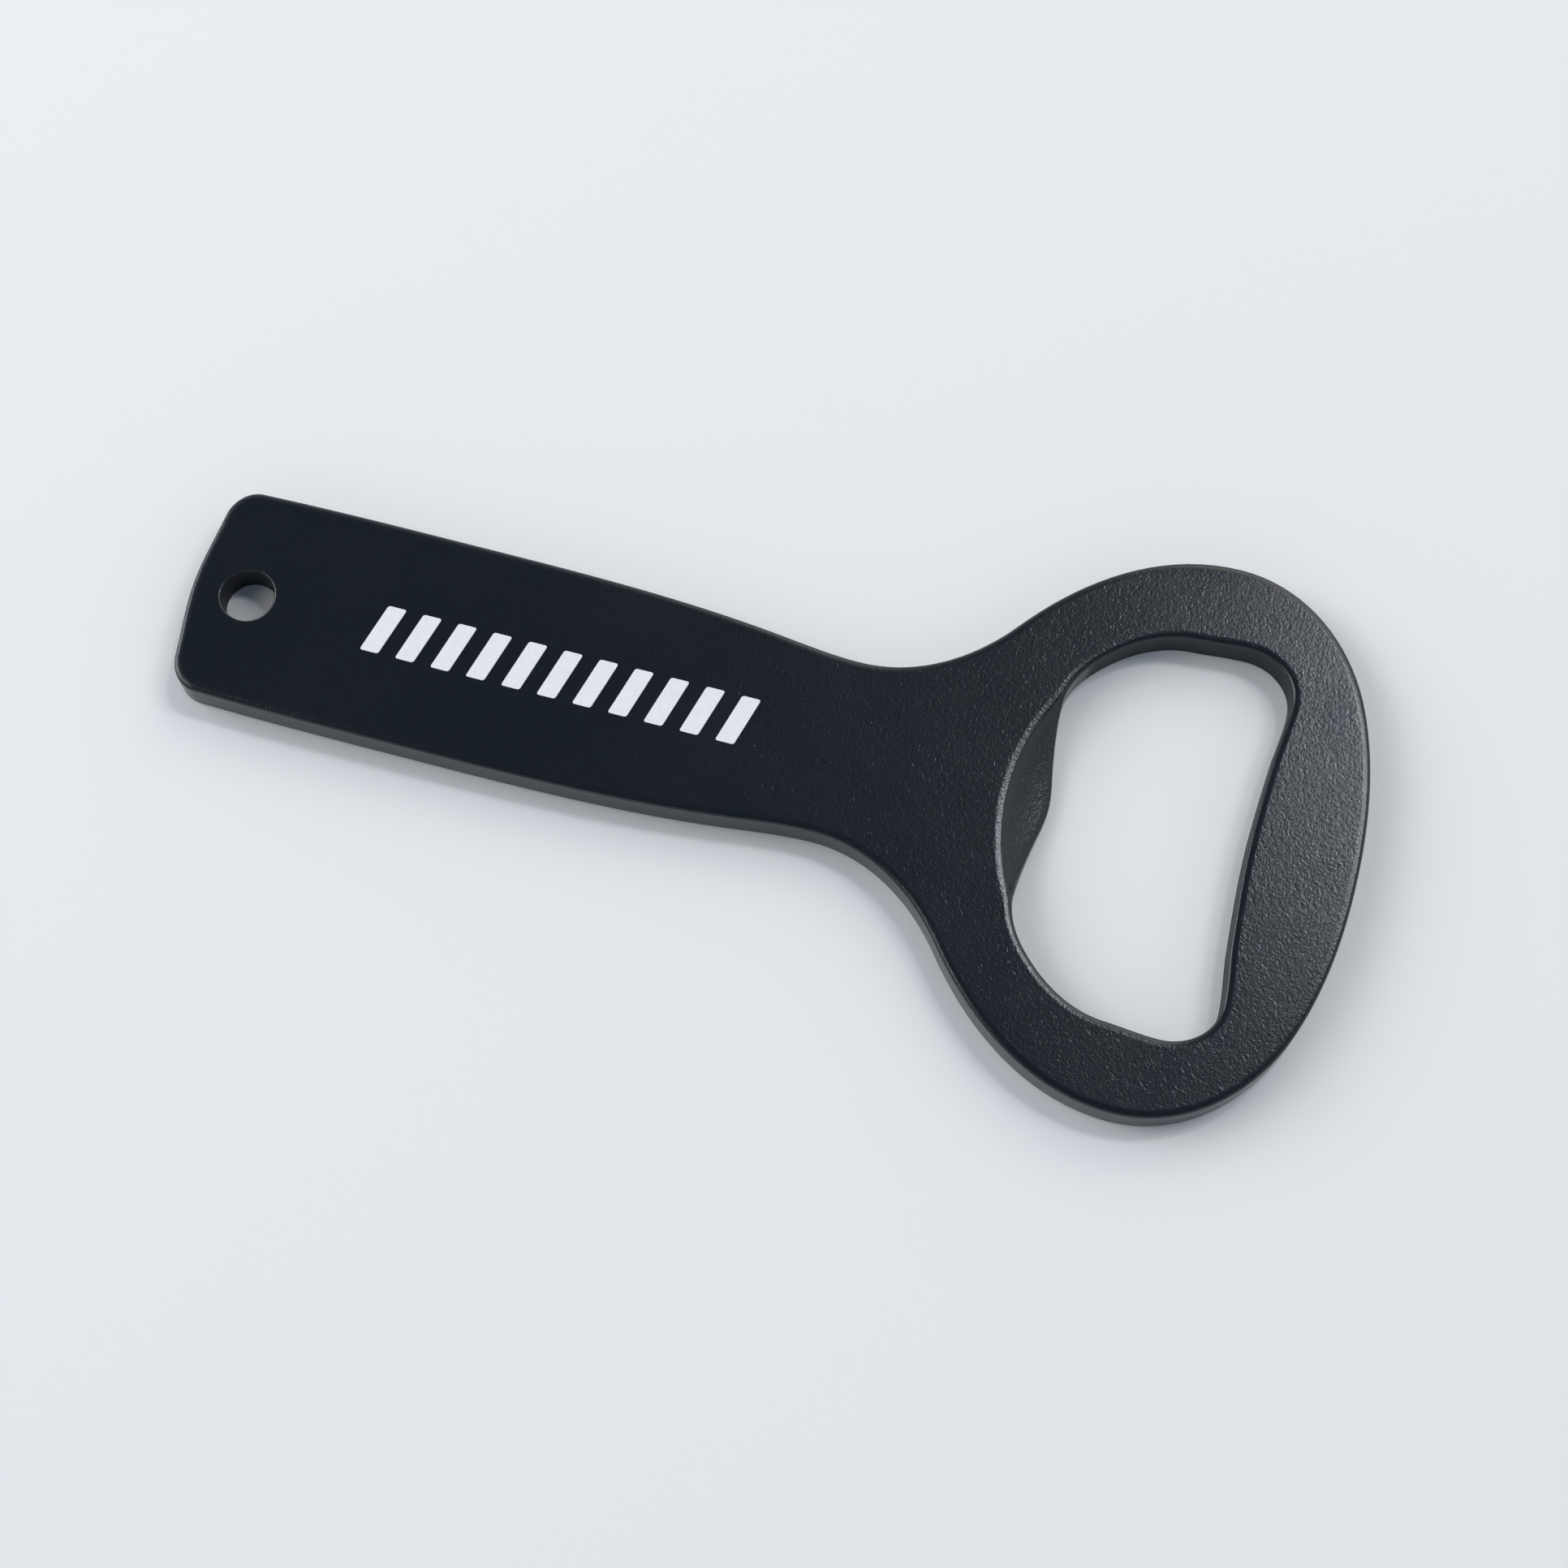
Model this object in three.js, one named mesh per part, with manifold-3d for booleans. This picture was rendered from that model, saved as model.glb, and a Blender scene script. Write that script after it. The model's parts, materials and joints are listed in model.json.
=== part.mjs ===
// Keychain bottle opener: one flat cast metal body with a ring hole at the handle's end, a wide
// rounded head with an opening for a crown cap, and a scooped tooth that hooks under the cap's rim.
// A row of plain slanted bars is printed on the handle.
//
// Frame: millimetres, +X from the handle to the head, +Z up, the underside on z = 0,
// the origin under the middle of the overall length and width.

import * as THREE from 'three';
import { mergeVertices } from 'three/addons/utils/BufferGeometryUtils.js';
import Module from 'manifold-3d';

const wasm = await Module();
wasm.setup();

// ---------------------------------------------------------------- driving dimensions
// Lengths are in mm. Headings are in degrees, along the outline from the handle to the head.

// plate
const overallLength = 110;
const plateThickness = 3.6;
const edgeRound = 0.4;

// handle, with its stations measured from its end
const handleHalfWidth = 10.4;
const handleWidestFromEnd = 25;
const cornerLength = 3.5;          // of the end's rounded corner, along the handle
const cornerDepth = 3.0;           // and across it
const endBulge = 0.7;              // how far the end bows out between its corners
const cornerStartHeading = 84.5;
const cornerStopHeading = 2;
const cornerShy = 0.2;             // the corner ends this much narrower than the widest place

// neck and head, with their stations measured back from the head's far end
const neckHalfWidth = 8.5;
const neckFromHeadEnd = 48.3;
const neckLeadLength = 8.7;
const neckLeadRise = 0.8;
const neckLeadHeading = -6.5;
const flareRun = 13.2;             // from the neck's narrowest place to the steepest of the flare
const flareRise = 7.3;
const flareHeading = 52.5;
const rimWidth = 7.6;              // of the head beside the opening
const headWidestFromHeadEnd = 16.5;
const headShoulderDepth = 2.55;
const headShoulderDrop = 10.75;
const headShoulderHeading = -69;

// opening for the cap, from its far edge back to the tooth
const barWidth = 10.1;             // of the bar that rests on the cap, on the axis
const barFlankHalfWidth = 8.9;
const barFlankRecess = 0.4;        // the bar's edge draws back on both sides of its middle
const barFlankHeading = -93.7;
const openingHalfWidth = 19.05;
const openingCornerDrop = 4.35;
const openingCornerRecess = 0.95;
const openingCornerLength = 4.85;
const openingTopLength = 5;
const openingTopDrop = 0.35;
const openingTopHeading = 3;
const shoulderRun = 2.3;           // from the tooth's root to the middle of the shoulder
const shoulderDrop = 4.6;
const shoulderHeading = 47;

// tooth: its lip is the lower part of the plate, left standing by a scoop from above
const capBite = 18.15;             // clear distance from the nose to the bar
const toothRise = 1.15;            // of the nose above the tooth's two roots
const toothRootHalfWidth = 9.5;
const toothFlankHalfWidth = 3.95;
const toothFlankHeading = 99.5;
const lipHeight = 1.3;
const scoopReach = 4.15;           // from the scoop's edge on the top face to the nose
const scoopEdgeRadius = 20.5;      // of that edge, seen from above
const scoopNoseSlope = 16;         // degrees down towards the opening, at the nose

// ring hole
const ringHoleRadius = 2.5;
const ringHoleEdge = 0.2;
const ringHoleFromEnd = 5.3;

// printed row
const printBars = 11;
const printHeight = 4.8;
const printLean = 1.3;             // how far a bar's upper end leans towards the head
const printInkShare = 0.52;        // the inked part of the bars' pitch
const printFromEnd = 16.8;
const printFromNeck = 7.6;
const inkThickness = 0.08;

// fineness of the faceted surfaces
const stretchSteps = 8;
const holeSteps = 32;
const scoopTurnSteps = 128;
const scoopArcSteps = 10;
const cutMargin = 1.5;             // how far a cutter runs past the faces that it cuts

// ---------------------------------------------------------------- places that follow from them

const handleEnd = -overallLength / 2;
const headEnd = overallLength / 2;
const neck = headEnd - neckFromHeadEnd;
const headHalfWidth = openingHalfWidth + rimWidth;
const barEdge = headEnd - barWidth;
const openingCorner = barEdge + openingCornerRecess;
const noseTip = barEdge - capBite;
const toothRoot = noseTip - toothRise;
const scoopEdge = noseTip - scoopReach;

// Knots of the upper half of each outline: x, y and the outline's heading there.
const bodyKnots = [
  [handleEnd, 0, 90],
  [handleEnd + endBulge, handleHalfWidth - cornerShy - cornerDepth, cornerStartHeading],
  [handleEnd + cornerLength, handleHalfWidth - cornerShy, cornerStopHeading],
  [handleEnd + handleWidestFromEnd, handleHalfWidth, 0],
  [neck - neckLeadLength, neckHalfWidth + neckLeadRise, neckLeadHeading],
  [neck, neckHalfWidth, 0],
  [neck + flareRun, neckHalfWidth + flareRise, flareHeading],
  [headEnd - headWidestFromHeadEnd, headHalfWidth, 0],
  [headEnd - headShoulderDepth, headHalfWidth - headShoulderDrop, headShoulderHeading],
  [headEnd, 0, -90],
];
const openingKnots = [
  [noseTip, 0, 90],
  [noseTip - toothRise / 2, toothFlankHalfWidth, toothFlankHeading],
  [toothRoot, toothRootHalfWidth, 90],
  [toothRoot + shoulderRun, openingHalfWidth - shoulderDrop, shoulderHeading],
  [openingCorner - openingCornerLength - openingTopLength, openingHalfWidth - openingTopDrop,
    openingTopHeading],
  [openingCorner - openingCornerLength, openingHalfWidth, 0],
  [openingCorner, openingHalfWidth - openingCornerDrop, -90],
  [barEdge + barFlankRecess, barFlankHalfWidth, barFlankHeading],
  [barEdge, 0, -90],
];

// ---------------------------------------------------------------- helpers

function ahead(knot, distance) {
  const heading = THREE.MathUtils.degToRad(knot[2]);
  return [knot[0] + distance * Math.cos(heading), knot[1] + distance * Math.sin(heading)];
}

// The reach makes a stretch between two knots a circular arc wherever its two ends allow one.
function addStretch(path, from, to) {
  const quarterTurn = THREE.MathUtils.degToRad(to[2] - from[2]) / 4;
  const chord = Math.hypot(to[0] - from[0], to[1] - from[1]);
  const reach = chord / (3 * Math.cos(quarterTurn) ** 2);
  path.bezierCurveTo(...ahead(from, reach), ...ahead(to, -reach), to[0], to[1]);
}

// Runs out along the lower half and back along the upper one, anticlockwise from above.
function drawMirrored(path, upperKnots) {
  const outward = upperKnots.map(([x, y, heading]) => [x, -y, -heading]);
  const back = upperKnots.map(([x, y, heading]) => [x, y, heading + 180]).reverse();
  path.moveTo(upperKnots[0][0], upperKnots[0][1]);
  for (const knots of [outward, back]) {
    for (let i = 1; i < knots.length; i++) addStretch(path, knots[i - 1], knots[i]);
  }
  return path;
}

function toSolid(geometry) {
  const bare = geometry.clone();
  bare.deleteAttribute('normal');
  bare.deleteAttribute('uv');
  const merged = mergeVertices(bare, 1e-4);
  return new wasm.Manifold(new wasm.Mesh({
    numProp: 3,
    vertProperties: new Float32Array(merged.attributes.position.array),
    triVerts: new Uint32Array(merged.index.array),
  }));
}

function toGeometry(solid) {
  const mesh = solid.getMesh();
  const geometry = new THREE.BufferGeometry();
  geometry.setAttribute('position', new THREE.BufferAttribute(mesh.vertProperties, 3));
  geometry.setIndex(new THREE.BufferAttribute(mesh.triVerts, 1));
  geometry.computeVertexNormals();
  return geometry;
}

// A profile of [radius, z] points turned about a vertical axis at x.
function turned(profile, steps, x) {
  const points = profile.map(([radius, z]) => new THREE.Vector2(radius, z));
  return new THREE.LatheGeometry(points, steps).rotateX(Math.PI / 2).translate(x, 0, 0);
}

// ---------------------------------------------------------------- opener body

function plate() {
  const outline = drawMirrored(new THREE.Shape(), bodyKnots);
  outline.holes.push(drawMirrored(new THREE.Path(), openingKnots));
  return new THREE.ExtrudeGeometry(outline, {
    depth: plateThickness - 2 * edgeRound,
    bevelEnabled: true,
    bevelThickness: edgeRound,
    bevelSize: edgeRound,
    bevelOffset: -edgeRound,
    bevelSegments: 2,
    curveSegments: stretchSteps,
  }).translate(0, 0, edgeRound);
}

function ringHoleCutter() {
  const mouth = ringHoleRadius + ringHoleEdge;
  return turned([
    [0, -cutMargin], [mouth, -cutMargin], [mouth, 0], [ringHoleRadius, ringHoleEdge],
    [ringHoleRadius, plateThickness - ringHoleEdge], [mouth, plateThickness],
    [mouth, plateThickness + cutMargin], [0, plateThickness + cutMargin],
  ], holeSteps, handleEnd + ringHoleFromEnd);
}

// The scoop is a shallow cove: it leaves the top face steeply and flattens towards the nose.
// It is cut by a turned ring, of which a box keeps the stretch beside the tooth.
function scoopCutter() {
  const depth = plateThickness - lipHeight;
  const meanSlope = Math.atan2(depth, scoopReach);
  const noseSlope = THREE.MathUtils.degToRad(scoopNoseSlope);
  const edgeSlope = 2 * meanSlope - noseSlope;
  const coveRadius = Math.hypot(depth, scoopReach) / (2 * Math.sin(meanSlope - noseSlope));
  const noseRadius = scoopEdgeRadius - scoopReach;
  const profile = [];
  for (let i = 0; i <= scoopArcSteps; i++) {
    const slope = noseSlope + (edgeSlope - noseSlope) * i / scoopArcSteps;
    profile.push([
      noseRadius + coveRadius * (Math.sin(slope) - Math.sin(noseSlope)),
      lipHeight + coveRadius * (Math.cos(noseSlope) - Math.cos(slope)),
    ]);
  }
  const above = plateThickness + cutMargin;
  profile.push([scoopEdgeRadius, above], [noseRadius - cutMargin, above],
    [noseRadius - cutMargin, lipHeight], profile[0]);
  const ring = toSolid(turned(profile, scoopTurnSteps, scoopEdge + scoopEdgeRadius));

  const rootReach = scoopEdgeRadius - (scoopReach - toothRise);
  const halfSpan = Math.sqrt(scoopEdgeRadius ** 2 - rootReach ** 2) + cutMargin;
  const length = scoopReach + 2 * cutMargin;
  const box = new THREE.BoxGeometry(length, 2 * halfSpan, 2 * above)
    .translate(scoopEdge - cutMargin + length / 2, 0, above);
  return ring.intersect(toSolid(box));
}

function openerBody() {
  return toGeometry(toSolid(plate()).subtract(toSolid(ringHoleCutter())).subtract(scoopCutter()));
}

// ---------------------------------------------------------------- printed bars

const printStart = handleEnd + printFromEnd;
const printPitch = (neck - printFromNeck - printStart) / printBars;

function printBar() {
  const width = printInkShare * printPitch;
  const bar = new THREE.Shape();
  bar.moveTo(-(width + printLean) / 2, -printHeight / 2);
  bar.lineTo((width - printLean) / 2, -printHeight / 2);
  bar.lineTo((width + printLean) / 2, printHeight / 2);
  bar.lineTo(-(width - printLean) / 2, printHeight / 2);
  bar.closePath();
  return new THREE.ExtrudeGeometry(bar, { depth: inkThickness, bevelEnabled: false });
}

// ---------------------------------------------------------------- the opener

const blackPowderCoat = new THREE.MeshStandardMaterial({
  name: 'black_powder_coat', color: 0x24292d, roughness: 0.55, metalness: 0,
});
const whiteInk = new THREE.MeshStandardMaterial({
  name: 'white_ink', color: 0xe6e8ea, roughness: 0.6, metalness: 0,
});

const opener = new THREE.Group();

const body = new THREE.Mesh(openerBody(), blackPowderCoat);
body.name = 'opener_body';
opener.add(body);

for (let i = 0; i < printBars; i++) {
  const bar = new THREE.Mesh(printBar(), whiteInk);
  bar.name = `print_bar_${String(i + 1).padStart(2, '0')}`;
  bar.position.set(printStart + (i + 0.5) * printPitch, 0, plateThickness);
  opener.add(bar);
}

export default opener;
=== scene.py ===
# %% [markdown]
# # A keychain bottle opener
#
# The real opener is one flat piece of cast metal with a black powder coat and a white print on its
# handle. Most of what makes it look real is small: the rounding along its edges, the scoop that thins
# the plate into a tooth, and the fine leathery grain of the coat. This lesson models those three
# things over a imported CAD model, which gives the overall size and every place.

# %% Load the frame
import json
import math

import bmesh
import bpy
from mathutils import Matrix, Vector
from mathutils.geometry import interpolate_bezier

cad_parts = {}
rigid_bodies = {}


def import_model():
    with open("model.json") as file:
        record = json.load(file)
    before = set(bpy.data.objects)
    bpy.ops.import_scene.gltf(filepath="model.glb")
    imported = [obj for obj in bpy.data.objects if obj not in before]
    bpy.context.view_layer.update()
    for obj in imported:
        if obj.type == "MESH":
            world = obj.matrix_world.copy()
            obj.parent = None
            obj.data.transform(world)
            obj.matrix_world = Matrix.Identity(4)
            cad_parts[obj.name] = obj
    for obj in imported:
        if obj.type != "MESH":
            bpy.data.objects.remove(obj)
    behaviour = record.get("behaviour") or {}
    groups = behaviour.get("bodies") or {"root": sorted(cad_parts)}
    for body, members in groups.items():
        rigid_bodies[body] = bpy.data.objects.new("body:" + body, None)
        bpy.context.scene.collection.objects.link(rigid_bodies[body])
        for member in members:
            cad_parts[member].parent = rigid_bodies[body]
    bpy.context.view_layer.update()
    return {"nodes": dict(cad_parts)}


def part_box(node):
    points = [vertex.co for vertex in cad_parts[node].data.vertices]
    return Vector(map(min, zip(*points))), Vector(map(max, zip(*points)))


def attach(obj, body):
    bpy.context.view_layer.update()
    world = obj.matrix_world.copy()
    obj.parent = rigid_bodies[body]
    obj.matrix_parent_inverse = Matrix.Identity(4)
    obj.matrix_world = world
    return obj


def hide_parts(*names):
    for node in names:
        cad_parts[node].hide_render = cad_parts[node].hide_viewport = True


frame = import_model()

MM = 0.001
low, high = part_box("opener_body")
handle_end, head_end = low.x / MM, high.x / MM
head_half_width = high.y / MM
underside, top = low.z / MM, high.z / MM
print("plate from", handle_end, "to", head_end, "mm along,", top - underside, "mm thick")

# %% [markdown]
# ## Materials
#
# Each material is a small tree of nodes, so one helper that adds a node, fills in its settings and
# links its inputs keeps the trees short. Colours are written as the hex values that a paint chart
# gives, and turned to the linear values that the renderer works in.

# %% Material helpers
def linear(hex_colour):
    """An sRGB hex colour as linear RGBA."""
    parts = [int(hex_colour[i:i + 2], 16) / 255 for i in (1, 3, 5)]
    return [p / 12.92 if p <= 0.04045 else ((p + 0.055) / 1.055) ** 2.4 for p in parts] + [1]


def add(tree, kind, settings=None, **inputs):
    """A new node with its settings, and its inputs set to values or linked to other nodes' outputs."""
    node = tree.nodes.new(kind)
    for name, value in (settings or {}).items():
        setattr(node, name, value)
    for name, value in inputs.items():
        socket = node.inputs[name.replace("_", " ")]
        if isinstance(value, bpy.types.NodeSocket):
            tree.links.new(value, socket)
        else:
            socket.default_value = value
    return node


def new_material(name):
    """An empty material, with its tree and its Principled shader."""
    material = bpy.data.materials.new(name)
    material.use_nodes = True
    return material, material.node_tree, material.node_tree.nodes["Principled BSDF"]


# %% [markdown]
# ### Patterns
#
# A pattern here is a number that changes from place to place. It starts as a noise, and a little
# arithmetic keeps the part of the noise that is wanted. The noise could be three-dimensional. It has
# a fourth dimension only because a step along it gives a fresh pattern, so it serves as a seed.

# %% Noise, arithmetic, ramps and blends
def noise(tree, place, spacing, seed, **inputs):
    """Noise from 0 to 1 in features of a size. Seeds give patterns that have nothing in common."""
    return add(tree, "ShaderNodeTexNoise", {"noise_dimensions": "4D"}, Vector=place, W=seed,
               Scale=1 / spacing, **inputs).outputs["Fac"]


def arithmetic(tree, operation, first, second=0.0):
    """A math node's output, from inputs that are sockets or numbers."""
    node = add(tree, "ShaderNodeMath", {"operation": operation})
    for socket, value in zip(node.inputs, (first, second)):
        if isinstance(value, bpy.types.NodeSocket):
            tree.links.new(value, socket)
        else:
            socket.default_value = value
    return node.outputs["Value"]


def ramp(tree, value, least, most, start, end):
    """Runs smoothly from start to end while a value goes from least to most, and stays there."""
    return add(tree, "ShaderNodeMapRange", {"interpolation_type": "SMOOTHSTEP"}, Value=value,
               From_Min=least, From_Max=most, To_Min=start, To_Max=end).outputs["Result"]


def blend(tree, share, first, second):
    """The colour that lies a share of the way from one hex colour to another."""
    return add(tree, "ShaderNodeMix", {"data_type": "RGBA"}, Factor=share,
               A=linear(first), B=linear(second)).outputs["Result"]


# %% [markdown]
# ### Black powder coat
#
# Powder coat is baked plastic powder. It flows out into a satin skin that isn't quite smooth: it has
# a faint orange peel, and where the grains didn't quite melt together it keeps short, winding
# creases up to a millimetre long, like fine leather. To the eye that gives a soft gloss that is
# broken by tiny dark strokes with a light side.
#
# The grain could be modelled, but at this size it would need millions of faces. A bump map from
# noise is enough, because it never shows on the silhouette. A crease lies where a wide noise crosses
# its middle value, which draws long winding lines, and a second noise rubs most of each line out.

# %% Grain of the coat
CREASE_SPACING = 0.9 * MM
CREASE_LENGTH = 0.45 * MM
CREASE_DEPTH = 0.004 * MM
CREASE_WIDTH = 0.05  # how far the wide noise is from its middle value at a crease's side
RUBBED_OUT, LEFT_WHOLE = 0.52, 0.66  # the second noise where a line is gone, and where it is whole
CREASE_LAYERS = 4
CREASE_SEED, RUB_SEED, PEEL_SEED = 3.0, 9.0, 0.5
PEEL_SPACING = 0.25 * MM
PEEL_HEIGHT = 0.019 * MM


def creases(tree, place):
    """1 in the middle of a crease and 0 beside it."""
    found = 0.0
    for layer in range(CREASE_LAYERS):
        wide = noise(tree, place, CREASE_SPACING, CREASE_SEED + layer, Detail=0.0)
        from_line = arithmetic(tree, "ABSOLUTE", arithmetic(tree, "SUBTRACT", wide, 0.5))
        groove = ramp(tree, from_line, 0.0, CREASE_WIDTH, 1.0, 0.0)
        rubbed = noise(tree, place, CREASE_LENGTH, RUB_SEED + layer, Detail=0.0)
        kept = ramp(tree, rubbed, RUBBED_OUT, LEFT_WHOLE, 0.0, 1.0)
        found = arithmetic(tree, "MAXIMUM", arithmetic(tree, "MULTIPLY", groove, kept), found)
    return found


def grain_height(tree, place):
    """The height of the coat's skin in metres: orange peel, less the depth of the creases."""
    crease = creases(tree, place)
    peel = noise(tree, place, PEEL_SPACING, PEEL_SEED, Detail=2.0, Roughness=0.6)
    skin = arithmetic(tree, "MULTIPLY", peel, PEEL_HEIGHT)
    return arithmetic(tree, "SUBTRACT", skin, arithmetic(tree, "MULTIPLY", crease, CREASE_DEPTH))


# %% [markdown]
# Some parts of the coat differ from the rest. A second material could be put on their faces, but it
# would end sharply, along the edge of a face. Here the place decides instead: how far a point lies
# below the top face, and how far it is from a centre. Both fade in over a short way, so nothing
# ends in a line.

# %% Finding a place
def below_top(tree, place, shallow, deep, most):
    """Grows from 0 to most while a place sinks from a shallow to a deep level, in mm."""
    height = add(tree, "ShaderNodeSeparateXYZ", Vector=place).outputs["Z"]
    return ramp(tree, height, (top - deep) * MM, (top - shallow) * MM, most, 0.0)


def from_centre(tree, place, centre, radii):
    """0 at a centre and 1 on the ellipsoid round it that has these radii, in mm."""
    moved = add(tree, "ShaderNodeMapping", {"vector_type": "TEXTURE"}, Vector=place,
                Location=[c * MM for c in centre], Scale=[r * MM for r in radii])
    return add(tree, "ShaderNodeVectorMath", {"operation": "LENGTH"},
               Vector=moved.outputs["Vector"]).outputs["Value"]


# %% [markdown]
# The floor of the scoop was left rough by its cutter, so there the same grain is several times
# deeper. The scoop is where the surface lies well below the top face and close to the tooth.

# %% Relief in the scoop
SCOOP_RELIEF = 4.0
SCOOP_SHALLOW, SCOOP_DEEP = 0.35, 0.9  # mm below the top face, where it sets in and where it is whole
SCOOP_INSET = 30  # mm from the head's end to the middle of the scoop
SCOOP_SPREAD = 9  # mm from there to where the deeper grain starts to fade
SCOOP_FADE = 2  # mm over which it fades


def scoop_relief(tree, place):
    """How many times deeper the grain is at a place."""
    lower = below_top(tree, place, SCOOP_SHALLOW, SCOOP_DEEP, SCOOP_RELIEF - 1)
    middle = (head_end - SCOOP_INSET, 0, underside)
    away = from_centre(tree, place, middle, [SCOOP_SPREAD] * 3)
    near = ramp(tree, away, 1.0, 1 + SCOOP_FADE / SCOOP_SPREAD, 1.0, 0.0)
    return arithmetic(tree, "ADD", arithmetic(tree, "MULTIPLY", lower, near), 1.0)


# %% [markdown]
# Powder doesn't fly well into a hole, so the walls of the ring hole and of the opening have a thin,
# dull coat. They are found below the top face and inside an upright ellipse round each hole. The
# tooth stands free, so it has the full coat, and the opening's walls only count from past its nose.

# %% Thin coat on the walls of the holes
WALL_SHALLOW, WALL_DEEP = 0.25, 0.45  # mm below the top face, where it sets in and where it is whole
WALL_EDGE = 1.06  # share of the ellipse's radii at which it has faded out
TALL = 1e6  # mm, so tall that height makes no difference
RING_HOLE_INSET = 5.3  # mm from the handle's end to the hole's centre
RING_HOLE_REACH = 3  # mm from there to just past the hole's wall
OPENING_INSET = 19  # mm from the head's end to the opening's middle
OPENING_REACH = (14.7, 22.7)  # mm from there to just past the walls, along and across
NOSE_INSET, PAST_NOSE = 28.2, 27.4  # mm from the head's end, at the tooth's nose and just past it


def hole_walls(tree, place, centre_x, half_length, half_width):
    """1 below the top face and inside an upright elliptical cylinder, and 0 elsewhere. In mm."""
    share = from_centre(tree, place, (centre_x, 0, 0), (half_length, half_width, TALL))
    inside = ramp(tree, share, 1.0, WALL_EDGE, 1.0, 0.0)
    below = below_top(tree, place, WALL_SHALLOW, WALL_DEEP, 1.0)
    return arithmetic(tree, "MULTIPLY", inside, below)


def thin_coat(tree, place):
    """1 on the walls of the two holes, and 0 elsewhere."""
    ring_hole = hole_walls(tree, place, handle_end + RING_HOLE_INSET, RING_HOLE_REACH, RING_HOLE_REACH)
    opening = hole_walls(tree, place, head_end - OPENING_INSET, *OPENING_REACH)
    along = add(tree, "ShaderNodeSeparateXYZ", Vector=place).outputs["X"]
    past_tooth = ramp(tree, along, (head_end - NOSE_INSET) * MM, (head_end - PAST_NOSE) * MM, 0.0, 1.0)
    return arithmetic(tree, "ADD", ring_hole, arithmetic(tree, "MULTIPLY", opening, past_tooth))


# %% [markdown]
# Satin powder coat has a roughness near 0.2. It is slightly glossier in some places than in others,
# in clouds about a centimetre across, and its black is finely mottled. The index of refraction stays
# at 1.5, the usual value for a polymer, and it isn't metallic, because no metal shows through it.

# %% Powder coat
CLOUD_SPACING = 9 * MM
MOTTLE_SPACING = 0.35 * MM
CLOUD_SEED, MOTTLE_SEED = 1.0, 2.0
GLOSSY, SATIN = 0.19, 0.25
DULL_WALL = 0.4  # roughness that a thin coat adds
DEEP_BLACK, SOFT_BLACK = "#06090b", "#0f151a"


def powder_coat():
    """The whole coat, with its grain, its clouds of gloss and its duller walls."""
    material, tree, shader = new_material("black_powder_coat")
    place = add(tree, "ShaderNodeTexCoord").outputs["Object"]
    relief = arithmetic(tree, "MULTIPLY", grain_height(tree, place), scoop_relief(tree, place))
    bump = add(tree, "ShaderNodeBump", Height=relief, Distance=1.0, Strength=1.0)
    clouds = noise(tree, place, CLOUD_SPACING, CLOUD_SEED, Detail=3.0)
    gloss = ramp(tree, clouds, 0.0, 1.0, GLOSSY, SATIN)
    dull = arithmetic(tree, "MULTIPLY", thin_coat(tree, place), DULL_WALL)
    mottle = noise(tree, place, MOTTLE_SPACING, MOTTLE_SEED, Detail=3.0)
    tree.links.new(blend(tree, mottle, DEEP_BLACK, SOFT_BLACK), shader.inputs["Base Color"])
    tree.links.new(arithmetic(tree, "ADD", gloss, dull), shader.inputs["Roughness"])
    tree.links.new(bump.outputs["Normal"], shader.inputs["Normal"])
    return material


coat_material = powder_coat()
print("powder coat:", len(coat_material.node_tree.nodes), "nodes")

# %% [markdown]
# ### White pad-print ink
#
# Pad printing lays down a film of matt ink a few hundredths of a millimetre thick. It follows the
# grain of the coat under it, so the same bump carries through it more weakly, and its white is
# a little uneven where the film is thin.

# %% Ink
INK_MOTTLE = 0.6 * MM
INK_ROUGHNESS = 0.6
INK_BUMP = 0.4
THIN_INK, FULL_INK = "#d6d6d4", "#e8e7e4"


def pad_print_ink():
    """A matt white that shows some of the grain under it."""
    material, tree, shader = new_material("white_pad_print_ink")
    place = add(tree, "ShaderNodeTexCoord").outputs["Object"]
    mottle = add(tree, "ShaderNodeTexNoise", Vector=place, Scale=1 / INK_MOTTLE, Detail=4.0)
    white = blend(tree, mottle.outputs["Fac"], THIN_INK, FULL_INK)
    bump = add(tree, "ShaderNodeBump", Height=grain_height(tree, place), Distance=1.0, Strength=INK_BUMP)
    tree.links.new(white, shader.inputs["Base Color"])
    tree.links.new(bump.outputs["Normal"], shader.inputs["Normal"])
    shader.inputs["Roughness"].default_value = INK_ROUGHNESS
    return material


ink_material = pad_print_ink()
print("ink:", len(ink_material.node_tree.nodes), "nodes")

# %% [markdown]
# ## The outlines
#
# Seen from above, the opener is the same on both sides of its long axis, so only the upper half is
# drawn, and mirrored at the end. Each outline is a few knots with the heading of the curve there, as
# a pattern maker would set them out. Between two knots runs a Bezier stretch whose handles have the
# length that makes it a true circular arc wherever its two ends allow one.

# %% Outline helper
STEPS = 18  # pieces of each stretch


def heading_vector(heading):
    """A step of length 1 along a heading in degrees, from the X axis."""
    return Vector((math.cos(math.radians(heading)), math.sin(math.radians(heading))))


def half_outline(knots):
    """Points in mm through the knots (x, y, heading)."""
    points = [Vector(knots[0][:2])]
    for (x0, y0, heading0), (x1, y1, heading1) in zip(knots, knots[1:]):
        start, stop = Vector((x0, y0)), Vector((x1, y1))
        turn = math.radians(heading1 - heading0)
        reach = (stop - start).length / (3 * math.cos(turn / 4) ** 2)
        first = start + heading_vector(heading0) * reach
        second = stop - heading_vector(heading1) * reach
        points += interpolate_bezier(start, first, second, stop, STEPS + 1)[1:]
    return points


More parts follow.
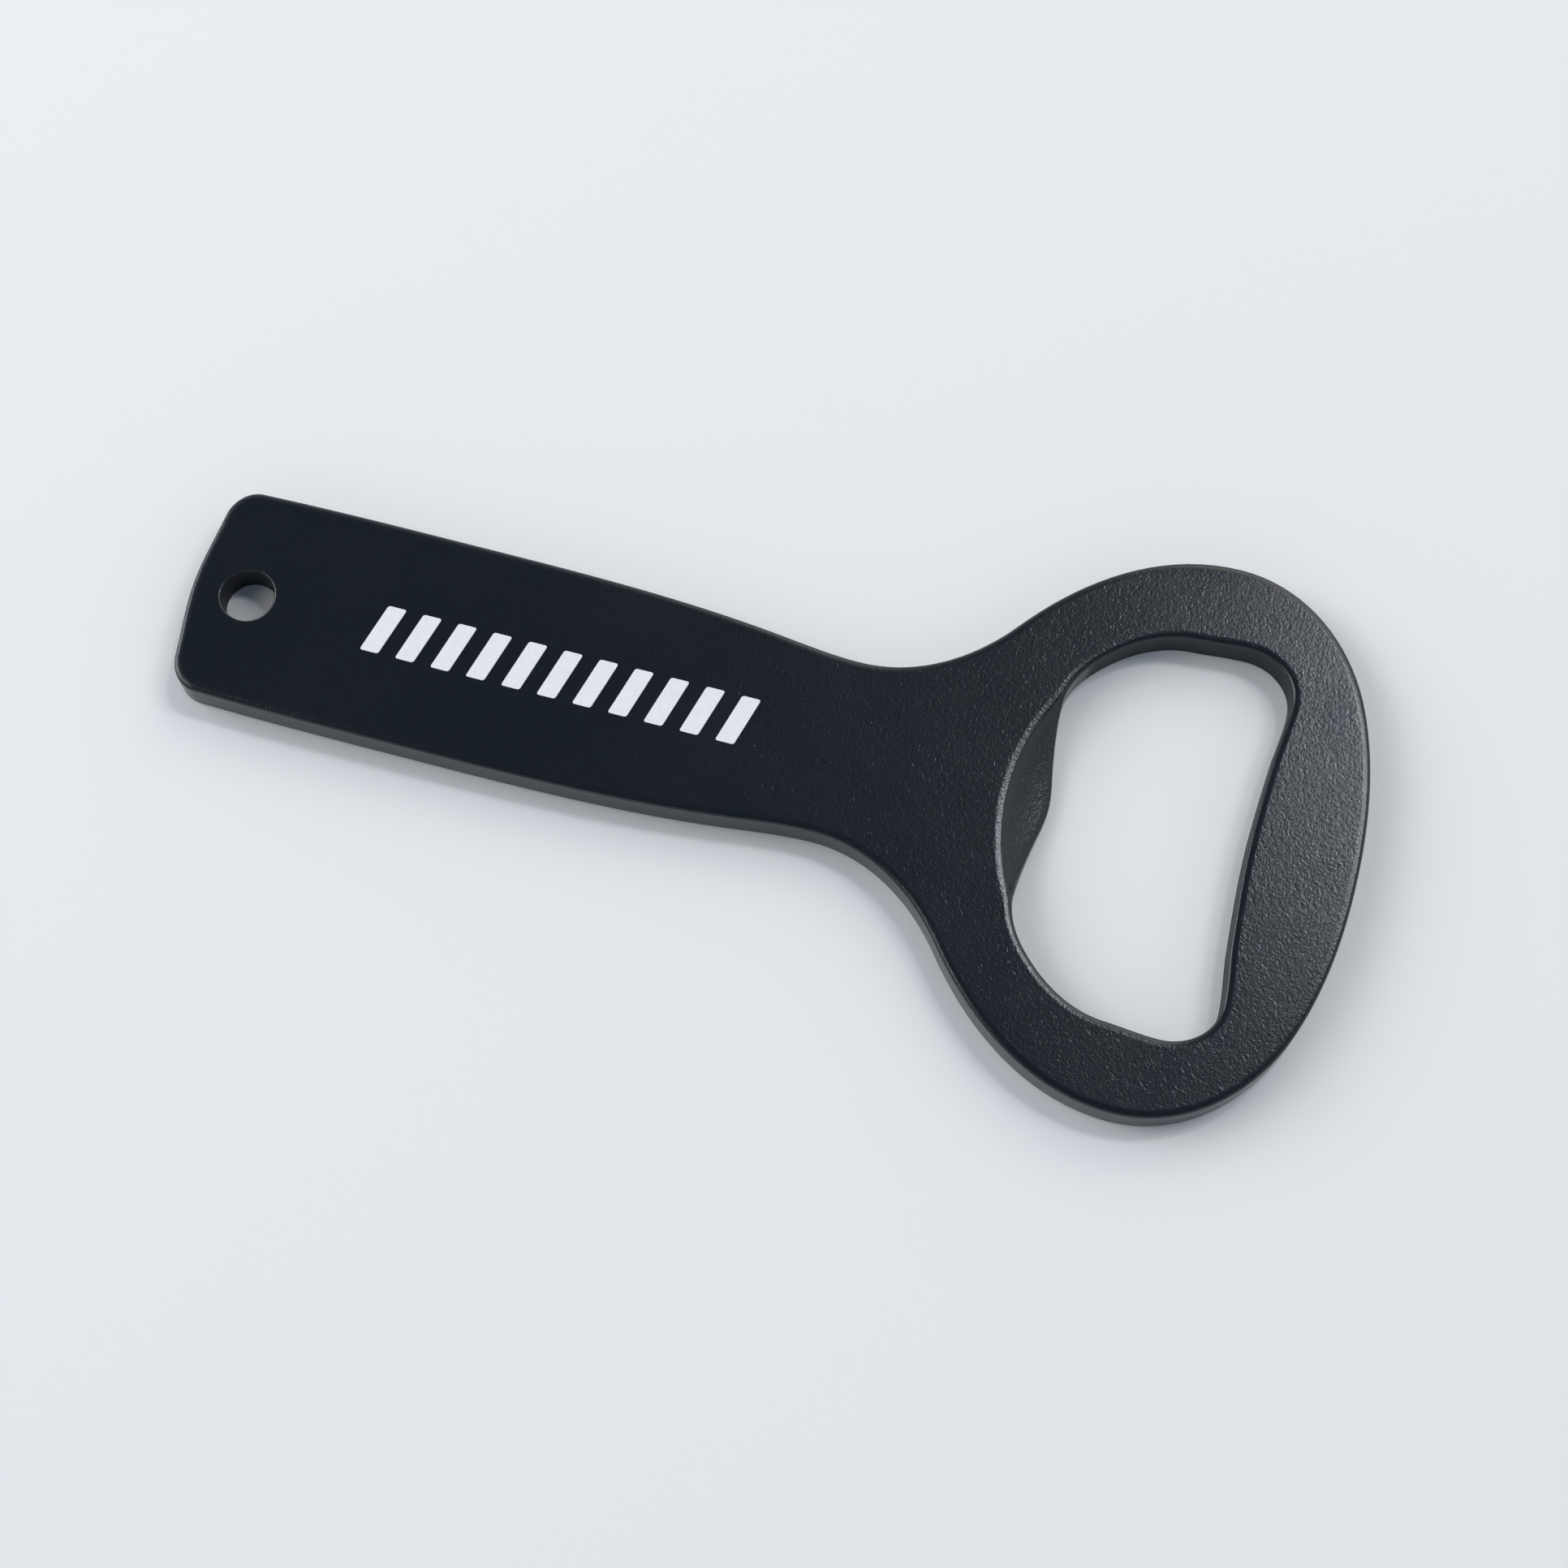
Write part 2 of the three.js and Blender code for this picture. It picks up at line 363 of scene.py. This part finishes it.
# %% [markdown]
# The body's outline starts in the middle of the handle's end, goes round its corner, along the
# handle, in at the neck and out round the head. It is measured from the two ends of the plate.

# %% Knots of the body
neck = head_end - 48.3
body_points = half_outline([
    (handle_end, 0, 90),
    (handle_end + 0.7, 7.2, 84.5),
    (handle_end + 3.5, 10.2, 2),
    (handle_end + 25, 10.4, 0),
    (neck - 8.7, 9.3, -6.5),
    (neck, 8.5, 0),
    (neck + 13.2, 15.8, 52.5),
    (head_end - 16.5, head_half_width, 0),
    (head_end - 2.55, 15.9, -69),
    (head_end, 0, -90),
])
print(len(body_points), "points round half the body")

# %% [markdown]
# The opening's outline starts at the tooth's nose, steps back a little to the tooth's root, and goes
# round to the middle of the bar that closes the head. It is measured from that bar's inner edge.

# %% Knots of the opening
bar_edge = head_end - 10.1
nose = bar_edge - 18.15
root = nose - 1.15
opening_points = half_outline([
    (nose, 0, 90),
    (nose - 0.575, 3.95, 99.5),
    (root, 9.5, 90),
    (root + 2.3, 14.45, 47),
    (bar_edge - 8.9, 18.7, 3),
    (bar_edge - 3.9, 19.05, 0),
    (bar_edge + 0.95, 14.7, -90),
    (bar_edge + 0.4, 8.9, -93.7),
    (bar_edge, 0, -90),
])
print(len(opening_points), "points round half the opening")

# %% [markdown]
# The ring hole is a true circle, drilled straight through near the end of the handle. A boolean cut
# would do, but half a circle in the same outline keeps the mesh clean.

# %% Ring hole
HOLE_RADIUS = 2.5
HOLE_STEPS = 32
hole_centre = Vector((handle_end + RING_HOLE_INSET, 0))
hole_points = [hole_centre + heading_vector(180 * i / HOLE_STEPS) * HOLE_RADIUS
               for i in range(HOLE_STEPS + 1)]
print(len(hole_points), "points round half the ring hole")

# %% [markdown]
# ## The plate
#
# One way to make the plate is a flat curve with an extrusion and a bevel. That can't carry the scoop,
# so the half outline becomes a single face instead, which is extruded straight up. The walls that
# the extrusion makes along the long axis are taken away again, because the other half goes there.
# One extra point on the axis, between the ring hole and the opening, is where the scoop will begin.

# %% Half a plate
TINY = 1e-7  # metres, less than any step of the mesh
SCOOP_EDGE_RADIUS = 20.5
SCOOP_REACH = 4.15
SCOOP_MARGIN = 1.5
scoop_centre = Vector((nose - SCOOP_REACH + SCOOP_EDGE_RADIUS, 0))
patch_radius = SCOOP_EDGE_RADIUS + SCOOP_MARGIN
patch_start = Vector((scoop_centre.x - patch_radius, 0))

body = bmesh.new()
half = body_points + opening_points[::-1] + [patch_start] + hole_points
bottom_face = body.faces.new([body.verts.new((p.x * MM, p.y * MM, underside * MM)) for p in half])
raised = bmesh.ops.extrude_face_region(body, geom=[bottom_face])["geom"]
bmesh.ops.translate(body, vec=(0, 0, (top - underside) * MM),
                    verts=[v for v in raised if isinstance(v, bmesh.types.BMVert)])
seam_walls = [f for f in body.faces if all(abs(v.co.y) < TINY for v in f.verts)]
bmesh.ops.delete(body, geom=seam_walls, context="FACES")
print("half plate:", len(body.verts), "vertices,", len(body.faces), "faces")

# %% [markdown]
# ## Rounded rims
#
# Cast and tumbled edges are soft. The lower rim is rounded less than the upper one, and the drilled
# hole only has its burr taken off, so each rim is picked out and bevelled by itself. Rounding comes
# before the scoop, while every rim still lies flat and has the same simple shape all the way round.

# %% Rim helpers
TOP_ROUND = 0.75
BOTTOM_ROUND = 0.3
HOLE_ROUND = 0.2


def rim(height, of_hole):
    """The edges between a flat face and the walls at a height, of the ring hole or of all the rest."""
    found = []
    for edge in body.edges:
        level = all(abs(v.co.z - height * MM) < TINY for v in edge.verts)
        on_seam = all(abs(v.co.y) < TINY for v in edge.verts)
        middle = (edge.verts[0].co + edge.verts[1].co).xy / 2 / MM
        near_hole = (middle - hole_centre).length < HOLE_RADIUS + HOLE_ROUND
        if level and not on_seam and near_hole == of_hole:
            found.append(edge)
    return found


def round_off(edges, radius, segments):
    """Bevels edges to a round of a radius in mm."""
    bmesh.ops.bevel(body, geom=edges, offset=radius * MM, offset_type="OFFSET", segments=segments,
                    profile=0.5, affect="EDGES", clamp_overlap=True, material=-1)


# %% [markdown]
# The upper rim starts to fall away three quarters of a millimetre from the wall: first it leans a
# few degrees, like a worn chamfer, which catches the light as a thin pale line, and then it turns
# down to the wall. A bevel's profile can't give that section, so a round bevel is made first, and
# each of its points is then moved to the section's height.

# %% Round the rims
TOP_ROUND_DROP = 0.36
WORN_SLOPE = 0.085
SLACK = 0.01  # mm, more than a rounding error and less than any step of the mesh


def worn_drop(along, width, drop):
    """How far a worn edge of a width and a drop has fallen at a distance along it, in mm."""
    share = min(along / width, 1)
    return WORN_SLOPE * along + (drop - WORN_SLOPE * width) * (1 - math.sqrt(1 - share ** 4))


round_off(rim(top, of_hole=False), TOP_ROUND, segments=8)
for v in body.verts:
    fallen = top - v.co.z / MM
    if fallen < TOP_ROUND + SLACK:
        along = TOP_ROUND * math.sqrt(max(1 - (1 - fallen / TOP_ROUND) ** 2, 0))
        v.co.z = (top - worn_drop(along, TOP_ROUND, TOP_ROUND_DROP)) * MM
round_off(rim(underside, of_hole=False), BOTTOM_ROUND, segments=4)
round_off(rim(top, of_hole=True), HOLE_ROUND, segments=3)
round_off(rim(underside, of_hole=True), HOLE_ROUND, segments=3)
print("after rounding:", len(body.verts), "vertices")

# %% [markdown]
# ## The scoop
#
# The tooth is what is left of the plate's thickness after a round cutter has scooped the metal away
# from above. Seen from above, the scoop's edge is an arc. In section it is a cove: it drops
# steeply from the top face and runs out gently at the nose of the lip, which is 1.3 mm thick.
#
# A boolean cut would leave slivers where the cove meets the rounded rim. Here a patch of the top
# face round the tooth is cut out and filled with a fine grid, whose points are then lowered by the
# depth of the cove at their distance from the cutter's axis. The rim goes down with it, so
# the lip keeps its rounding and thins out smoothly. The two flat faces are easy to find, because
# they have by far the most corners.

# %% Find the lip
PATCH_SPAN = 12.9  # mm from the axis to the end of the patch
PATCH_FRONT = nose + 1  # mm along X, just ahead of the nose


def radius_of(v):
    """Distance in mm from the cutter's axis."""
    return (v.co.xy / MM - scoop_centre).length


def behind_opening(v):
    """Whether a vertex is on the tooth's side of the opening, and no wider out than the patch."""
    return v.co.x / MM < PATCH_FRONT and v.co.y / MM < PATCH_SPAN


flat_faces = sorted(body.faces, key=lambda f: len(f.verts))[-2:]
top_face = max(flat_faces, key=lambda f: f.calc_center_median().z)
lip = [v for v in top_face.verts if behind_opening(v) and radius_of(v) < patch_radius - SLACK]
lip.sort(key=lambda v: v.co.y)
inner_axis_point = min(top_face.verts, key=lambda v: (v.co.xy / MM - patch_start).length)
print("lip of", len(lip), "points from y", lip[0].co.y / MM, "to", lip[-1].co.y / MM)

# %% [markdown]
# The patch runs from the lip to an arc just outside the scoop. Every point of the lip gets a partner
# on the arc, so that the two chains can be bridged, and the bridges are then cut into rows.

# %% Split the patch off and fill it with a grid
ROWS = 44
outer_arc = []
for v in reversed(lip[1:]):
    away = (v.co.xy / MM - scoop_centre).normalized() * patch_radius
    spot = (scoop_centre + away) * MM
    outer_arc.append((spot.x, spot.y, top * MM))
bmesh.utils.face_split(top_face, lip[-1], inner_axis_point, coords=outer_arc)
patch = next(f for f in inner_axis_point.link_faces if lip[0] in f.verts)
arc = [v for v in patch.verts if abs(radius_of(v) - patch_radius) < SLACK]
bmesh.ops.delete(body, geom=[patch], context="FACES_ONLY")


def chain(points):
    """The edges that join these vertices to each other."""
    return [e for e in body.edges if all(v in points for v in e.verts)]


bmesh.ops.bridge_loops(body, edges=chain(arc) + chain(lip))
across = [e for v in arc for e in v.link_edges if e.other_vert(v) in lip]
bmesh.ops.subdivide_edges(body, edges=across, cuts=ROWS - 1, use_grid_fill=True)
print("patch of", len(across) - 1, "by", ROWS, "faces")

# %% [markdown]
# The scoop's edge is worn in the same way as the rims, but a little wider. The cove is an arc from
# there to the nose. Its radius follows from its reach, its drop and its slope at the nose.

# %% The cove's section
LIP_HEIGHT = 1.3
NOSE_SLOPE = 16  # degrees
EDGE_ROUND = 0.85
EDGE_ROUND_DROP = 0.37
EDGE_SHARE = 0.9  # the share of the worn edge's width after which the cove takes over
EDGE_REACH = 0.52  # mm from the scoop's edge out to where the wear starts
nose_radius = SCOOP_EDGE_RADIUS - SCOOP_REACH
edge_start = SCOOP_EDGE_RADIUS + EDGE_REACH
edge_end = edge_start - EDGE_ROUND * EDGE_SHARE
edge_drop = worn_drop(EDGE_ROUND * EDGE_SHARE, EDGE_ROUND, EDGE_ROUND_DROP)
cove_reach = edge_end - nose_radius
cove_drop = top - underside - LIP_HEIGHT - edge_drop
nose_slope = math.radians(NOSE_SLOPE)
cove_turn = 2 * (math.atan2(cove_drop, cove_reach) - nose_slope)
cove_radius = math.hypot(cove_reach, cove_drop) / (2 * math.sin(cove_turn / 2))
print("cove radius", round(cove_radius, 2), "mm, from", round(math.degrees(nose_slope + cove_turn)),
      "degrees to", NOSE_SLOPE)

# %% [markdown]
# Only points near the top face go down. The cutter's circle would reach round the opening as well, so
# the points on its far side are left out.

# %% Lower the patch into a cove
def scoop_depth(radius):
    """How far the scoop lies below the top face at a distance from the cutter's axis, in mm."""
    if radius > edge_end:
        return worn_drop(edge_start - radius, EDGE_ROUND, EDGE_ROUND_DROP)
    run = max(radius - nose_radius, 0) + cove_radius * math.sin(nose_slope)
    climb = cove_radius * math.cos(nose_slope) - math.sqrt(cove_radius ** 2 - run ** 2)
    return edge_drop + cove_drop - climb


upper_points = [v for v in body.verts if v.co.z / MM > top - TOP_ROUND - SLACK]
scooped = [v for v in upper_points if behind_opening(v) and radius_of(v) < edge_start]
for v in scooped:
    v.co.z -= scoop_depth(radius_of(v)) * MM
print(len(scooped), "points lowered")

# %% [markdown]
# ## The whole body
#
# The half is mirrored across the long axis and its two seams are merged. Nothing may stay open,
# because a real casting is solid, so the edges that don't have two faces are counted.

# %% Mirror the half
MERGE_DISTANCE = 1e-6
bmesh.ops.mirror(body, geom=body.verts[:] + body.edges[:] + body.faces[:], axis="Y",
                 merge_dist=MERGE_DISTANCE)
bmesh.ops.remove_doubles(body, verts=body.verts[:], dist=TINY)
bmesh.ops.recalc_face_normals(body, faces=body.faces[:])
open_edges = sum(len(e.link_faces) != 2 for e in body.edges)
print("body:", len(body.faces), "faces,", open_edges, "open edges, volume",
      round(body.calc_volume() / MM ** 3), "mm3")

# %% [markdown]
# The big flat faces and the narrow rounded rims share vertices, so plain smooth shading would bend
# the flats' normals. A Weighted Normal modifier lets the larger face win, which keeps the flats flat.

# %% Finish the body
for face in body.faces:
    face.smooth = True

body_mesh = bpy.data.meshes.new("opener_metal")
body.to_mesh(body_mesh)
body.free()
opener = bpy.data.objects.new("opener_metal", body_mesh)
bpy.context.collection.objects.link(opener)
body_mesh.materials.append(coat_material)
weighted = opener.modifiers.new("flat faces stay flat", "WEIGHTED_NORMAL")
weighted.mode = "FACE_AREA_WITH_ANGLE"
weighted.weight = 100
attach(opener, "root")
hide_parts("opener_body")
print("body with", len(opener.modifiers), "modifier and", len(body_mesh.materials), "material")

# %% [markdown]
# ## The printed bars
#
# Eleven plain slanted bars are printed on the handle. Each is a parallelogram inside the box that
# the frame gives it. A printing plate can't hold a perfectly sharp corner, so the four
# corners are rounded before the face is raised by the thickness of the film.

# %% Print the bars
LEAN = 1.3  # mm that a bar's far end is ahead of its near end
INK_CORNER = 0.22
INK_EDGE = 0.02


def ink_bar(node):
    """The printed bar that takes the place of a node of the frame."""
    least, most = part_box(node)
    lean = LEAN * MM
    corners = [(least.x, least.y), (most.x - lean, least.y), (most.x, most.y),
               (least.x + lean, most.y)]
    bar = bmesh.new()
    bar.faces.new([bar.verts.new((x, y, least.z)) for x, y in corners])
    bmesh.ops.bevel(bar, geom=bar.verts[:], offset=INK_CORNER * MM, segments=4, profile=0.5,
                    affect="VERTICES", clamp_overlap=True, material=-1)
    raised = bmesh.ops.extrude_face_region(bar, geom=bar.faces[:])["geom"]
    upper = [v for v in raised if isinstance(v, bmesh.types.BMVert)]
    bmesh.ops.translate(bar, vec=(0, 0, most.z - least.z), verts=upper)
    upper_rim = [e for e in bar.edges if all(v in upper for v in e.verts)]
    bmesh.ops.bevel(bar, geom=upper_rim, offset=INK_EDGE * MM, segments=2, profile=0.5,
                    affect="EDGES", clamp_overlap=True, material=-1)
    bmesh.ops.recalc_face_normals(bar, faces=bar.faces[:])
    name = node.replace("print_bar", "ink_bar")
    mesh = bpy.data.meshes.new(name)
    bar.to_mesh(mesh)
    bar.free()
    piece = bpy.data.objects.new(name, mesh)
    bpy.context.collection.objects.link(piece)
    mesh.materials.append(ink_material)
    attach(piece, "root")
    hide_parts(node)
    return piece


ink_bars = [ink_bar(node) for node in sorted(frame["nodes"]) if node.startswith("print_bar")]
print(len(ink_bars), "ink bars")

# %% [markdown]
# ## Floor, camera and light
#
# The opener lies on a sheet of matt board. The sheet is so wide that its edges lie far outside the
# view, and it has no pattern, so that nothing competes with the opener.

# %% Floor
FLOOR_HALF = 3.0  # metres
FLOOR_ROUGHNESS = 0.9
floor_mesh = bpy.data.meshes.new("floor")
floor_shape = bmesh.new()
bmesh.ops.create_grid(floor_shape, x_segments=1, y_segments=1, size=FLOOR_HALF)
floor_shape.to_mesh(floor_mesh)
floor_shape.free()
floor = bpy.data.objects.new("floor", floor_mesh)
floor.location.z = underside * MM
bpy.context.collection.objects.link(floor)
floor_material, floor_tree, floor_shader = new_material("matt_pale_board")
floor_shader.inputs["Base Color"].default_value = linear("#e6e4e0")
floor_shader.inputs["Roughness"].default_value = FLOOR_ROUGHNESS
floor_mesh.materials.append(floor_material)
print("floor", 2 * FLOOR_HALF, "m across")

# %% [markdown]
# The camera looks down steeply from close by, so the walls nearest to it show a little, and the
# opener lies slightly turned in the view. The camera is placed by two angles and a distance from the
# point it aims at, which are easier to judge than three coordinates.

# %% Camera
CAMERA_AZIMUTH = 15.16
CAMERA_ELEVATION = 71.0
CAMERA_DISTANCE = 269.4 * MM
CAMERA_LENS = 67.4
CAMERA_SENSOR = 36
CAMERA_AIM = (2.73, -3.65)
NEAREST_VIEW = 10 * MM
azimuth, elevation = math.radians(CAMERA_AZIMUTH), math.radians(CAMERA_ELEVATION)
sight = Vector((-math.sin(azimuth) * math.cos(elevation), math.cos(azimuth) * math.cos(elevation),
                -math.sin(elevation)))
target = Vector((*CAMERA_AIM, underside)) * MM
camera = bpy.data.objects.new("camera", bpy.data.cameras.new("camera"))
bpy.context.collection.objects.link(camera)
camera.data.lens = CAMERA_LENS
camera.data.sensor_width = CAMERA_SENSOR
camera.data.clip_start = NEAREST_VIEW
camera.location = target - sight * CAMERA_DISTANCE
camera.rotation_euler = sight.to_track_quat("-Z", "Y").to_euler()
bpy.context.scene.camera = camera
print("camera", round(camera.location.z, 3), "m above the floor")

# %% [markdown]
# The highlight on the head is the blurred image of two small lamps behind the head, to the right. The
# flat face of the handle mirrors only the dim ceiling between the lamps, so it stays nearly black.
# Three wider softboxes, one low behind the opener and two past the end of its handle, light the floor
# and the walls that face them. The flat faces don't mirror these three, and their size keeps the
# shadows soft. Each lamp's power is worked out from the share of the floor's light that it gives.

# %% Lamps
FLOOR_IRRADIANCE = math.pi  # what a white floor needs to look exactly white


def softbox(name, azimuth, elevation, half_angle, distance, share, colour):
    """A disc lamp that faces the opener. Angles are in degrees, and azimuth 0 is along +X."""
    turn, rise = math.radians(azimuth), math.radians(elevation)
    direction = Vector((math.cos(turn) * math.cos(rise), math.sin(turn) * math.cos(rise),
                        math.sin(rise)))
    lamp = bpy.data.lights.new(name, "AREA")
    lamp.shape = "DISK"
    lamp.size = 2 * distance * math.tan(math.radians(half_angle))
    lamp.energy = share * FLOOR_IRRADIANCE * math.pi * distance ** 2 / math.sin(rise)
    lamp.color = linear(colour)[:3]
    light = bpy.data.objects.new(name, lamp)
    light.location = direction * distance
    light.rotation_euler = (-direction).to_track_quat("-Z", "Y").to_euler()
    bpy.context.collection.objects.link(light)
    print(name, "lamp of", round(lamp.energy, 1), "W")


softbox("key", 61, 62, 3.5, 1.6, 0.12, "#eff6ff")
softbox("right", 40, 53, 7, 1.3, 0.12, "#fbfcff")
softbox("back", 75, 38, 18, 1.0, 0.12, "#fff6ea")
softbox("left", 175, 28, 18, 0.9, 0.2, "#eff5ff")
softbox("high left", 192, 50, 14, 1.2, 0.13, "#fff8f0")

# %% [markdown]
# The rest of the light comes from the room. Its pale walls are a little brighter behind the opener
# than on the viewer's side, and light the plate's edge from all round. Its ceiling is dim and
# slightly blue, and gives the flat handle its cool sheen. A panorama of a real studio could do the
# same, but two ramps need no image, and each of their numbers can be tuned alone.

# %% Room light
BACK_LIGHT = 1.1
FRONT_LIGHT = 0.85
CEILING_LIGHT = 0.28
WALL_TOP, CEILING_EDGE = 0.45, 0.85  # height of a direction, where the wall starts to fade and ends
FRONT_SIDE, BACK_SIDE = -0.3, 0.4  # Y of a direction, where the front light fades and is gone
WALL_TINT, CEILING_TINT = "#e6effa", "#acc8eb"
world = bpy.data.worlds.new("studio")
bpy.context.scene.world = world
world.use_nodes = True
room = world.node_tree
direction = add(room, "ShaderNodeSeparateXYZ",
                Vector=add(room, "ShaderNodeTexCoord").outputs["Generated"])
upward = ramp(room, direction.outputs["Z"], WALL_TOP, CEILING_EDGE, 0.0, 1.0)
wall_light = ramp(room, direction.outputs["Y"], FRONT_SIDE, BACK_SIDE, FRONT_LIGHT, BACK_LIGHT)
walls = arithmetic(room, "MULTIPLY", wall_light, arithmetic(room, "SUBTRACT", 1.0, upward))
ceiling = arithmetic(room, "MULTIPLY", upward, CEILING_LIGHT)
background = room.nodes["Background"]
room.links.new(blend(room, upward, WALL_TINT, CEILING_TINT), background.inputs["Color"])
room.links.new(arithmetic(room, "ADD", walls, ceiling), background.inputs["Strength"])
bpy.context.scene.view_settings.view_transform = "Standard"
print("room light from", len(room.nodes), "nodes")
